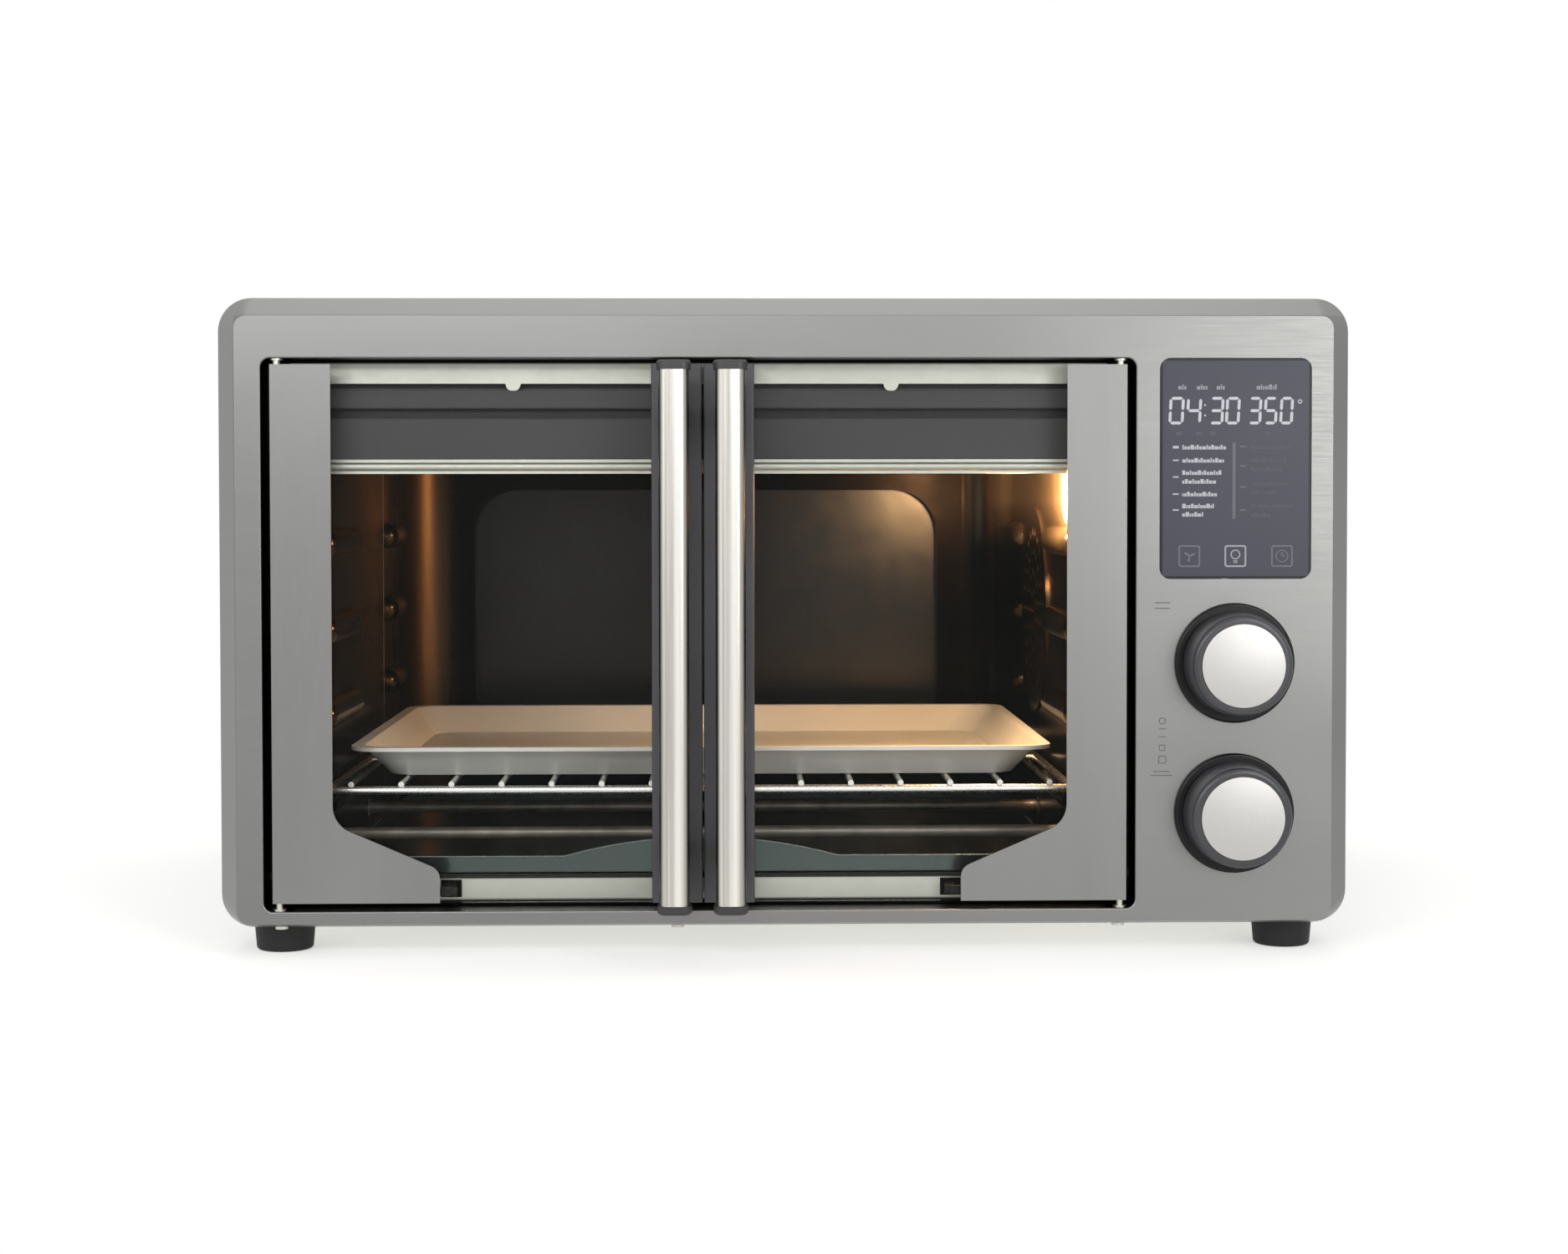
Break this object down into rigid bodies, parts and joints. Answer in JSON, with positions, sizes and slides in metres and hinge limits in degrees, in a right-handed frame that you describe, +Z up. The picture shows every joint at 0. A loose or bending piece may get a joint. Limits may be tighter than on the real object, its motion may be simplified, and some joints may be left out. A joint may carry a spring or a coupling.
{
  "type": "air fryer oven",
  "caption": "Countertop air fryer oven with two side-hinged glass doors that open together, a display, two knobs, a rack, a pan and a crumb tray.",
  "frame": {"origin": "middle of the overall box, at the soles of the feet", "axes": "+X to the right seen from the front, -Y towards the person in front, +Z up"},
  "size_m": [0.57, 0.485, 0.332],
  "materials": {
    "satin_steel": "satin",
    "bright_steel": "brushed",
    "zinc_steel": "satin",
    "dark_enamel": "gloss",
    "chromed_wire": "polished",
    "tray_steel": "satin",
    "heater_steel": "satin",
    "ceramic_white": "matte",
    "door_glass": "gloss",
    "charcoal_plastic": "matte",
    "gloss_charcoal": "gloss",
    "satin_aluminium": "satin",
    "foot_rubber": "matte",
    "circuit_board": "satin"
  },
  "bodies": {
    "oven_body": {"front_fascia": "satin_steel", "outer_wrap": "satin_steel", "base_plate": "zinc_steel", "rear_cover": "dark_enamel", "cord_gland": "charcoal_plastic", "foot_front_left": "foot_rubber", "foot_front_right": "foot_rubber", "foot_rear_left": "foot_rubber", "foot_rear_right": "foot_rubber", "front_frame": "zinc_steel", "header_panel": "dark_enamel", "cavity_liner": "dark_enamel", "hinge_bushes": "zinc_steel", "screws": "zinc_steel", "link_guides": "zinc_steel", "upper_elements": "heater_steel", "lower_elements": "heater_steel", "element_insulators": "ceramic_white", "fan_grille": "zinc_steel", "fan_motor": "zinc_steel", "lamp_lens": "door_glass", "lamp_socket": "ceramic_white", "lamp_bulb": "door_glass", "temperature_probe": "heater_steel", "display_window": "gloss_charcoal", "display_board": "circuit_board", "power_board": "circuit_board", "knob_rings": "charcoal_plastic", "encoders": "charcoal_plastic"},
    "left_door": {"left_door_trim": "satin_steel", "left_door_glass": "door_glass", "left_door_stile": "charcoal_plastic", "left_handle_bar": "bright_steel", "left_handle_caps": "charcoal_plastic", "left_handle_posts": "charcoal_plastic", "left_hinge_pins": "zinc_steel", "left_sector_gear": "zinc_steel", "left_check_arm": "zinc_steel"},
    "right_door": {"right_door_trim": "satin_steel", "right_door_glass": "door_glass", "right_door_stile": "charcoal_plastic", "right_handle_bar": "bright_steel", "right_handle_caps": "charcoal_plastic", "right_handle_posts": "charcoal_plastic", "right_hinge_pins": "zinc_steel", "right_sector_gear": "zinc_steel", "right_check_arm": "zinc_steel"},
    "left_link": {"left_link_bar": "zinc_steel"},
    "right_link": {"right_link_bar": "zinc_steel"},
    "idler": {"idler_pinion": "zinc_steel"},
    "rack": {"wire_rack": "chromed_wire"},
    "pan": {"baking_pan": "tray_steel"},
    "tray": {"crumb_tray": "tray_steel"},
    "fan": {"fan_impeller": "satin_aluminium"},
    "upper_knob_stem": {"upper_knob_shaft": "zinc_steel"},
    "upper_knob_dial": {"upper_knob": "gloss_charcoal", "upper_knob_cap": "satin_aluminium"},
    "lower_knob_stem": {"lower_knob_shaft": "zinc_steel"},
    "lower_knob_dial": {"lower_knob": "gloss_charcoal", "lower_knob_cap": "satin_aluminium"}
  },
  "joints": [
    {"name": "left_door_hinge", "type": "hinge", "parent": "oven_body", "child": "left_door", "pos_m": [-0.2555, -0.1952, 0.162], "axis": [0, 0, -1], "range_deg": [0, 90]},
    {"name": "right_door_hinge", "type": "hinge", "parent": "oven_body", "child": "right_door", "pos_m": [0.169, -0.1952, 0.162], "axis": [0, 0, 1], "range_deg": [0, 90]},
    {"name": "left_link_slide", "type": "slide", "parent": "oven_body", "child": "left_link", "axis": [1, 0, 0], "range_m": [0, 0.0126]},
    {"name": "right_link_slide", "type": "slide", "parent": "oven_body", "child": "right_link", "axis": [-1, 0, 0], "range_m": [0, 0.0126]},
    {"name": "idler_turn", "type": "hinge", "parent": "oven_body", "child": "idler", "pos_m": [-0.04325, -0.1728, 0.02], "axis": [0, 0, 1], "range_deg": [0, 90]},
    {"name": "rack_slide", "type": "slide", "parent": "oven_body", "child": "rack", "axis": [0, -1, 0], "range_m": [0, 0.012]},
    {"name": "pan_lift", "type": "slide", "parent": "rack", "child": "pan", "axis": [0, 0, 1], "range_m": [0, 0.1]},
    {"name": "tray_slide", "type": "slide", "parent": "oven_body", "child": "tray", "axis": [0, -1, 0], "range_m": [0, 0.008]},
    {"name": "fan_spin", "type": "hinge", "parent": "oven_body", "child": "fan", "pos_m": [0.18, 0.0307, 0.16442], "axis": [1, 0, 0], "continuous": true},
    {"name": "upper_knob_press", "type": "slide", "parent": "oven_body", "child": "upper_knob_stem", "axis": [0, 1, 0], "range_m": [0, 0.0008], "stiffness_N_per_m": 2000},
    {"name": "upper_knob_turn", "type": "hinge", "parent": "upper_knob_stem", "child": "upper_knob_dial", "pos_m": [0.2259, -0.2155, 0.148], "axis": [0, -1, 0], "continuous": true},
    {"name": "lower_knob_press", "type": "slide", "parent": "oven_body", "child": "lower_knob_stem", "axis": [0, 1, 0], "range_m": [0, 0.0008], "stiffness_N_per_m": 2000},
    {"name": "lower_knob_turn", "type": "hinge", "parent": "lower_knob_stem", "child": "lower_knob_dial", "pos_m": [0.2259, -0.2155, 0.0721], "axis": [0, -1, 0], "continuous": true}
  ],
  "couplings": [
    {"joint": "right_door_hinge", "follows": "left_door_hinge", "ratio": 1},
    {"joint": "left_link_slide", "follows": "left_door_hinge", "m_per_rad": 0.008},
    {"joint": "right_link_slide", "follows": "left_door_hinge", "m_per_rad": 0.008},
    {"joint": "idler_turn", "follows": "left_door_hinge", "ratio": 1}
  ]
}
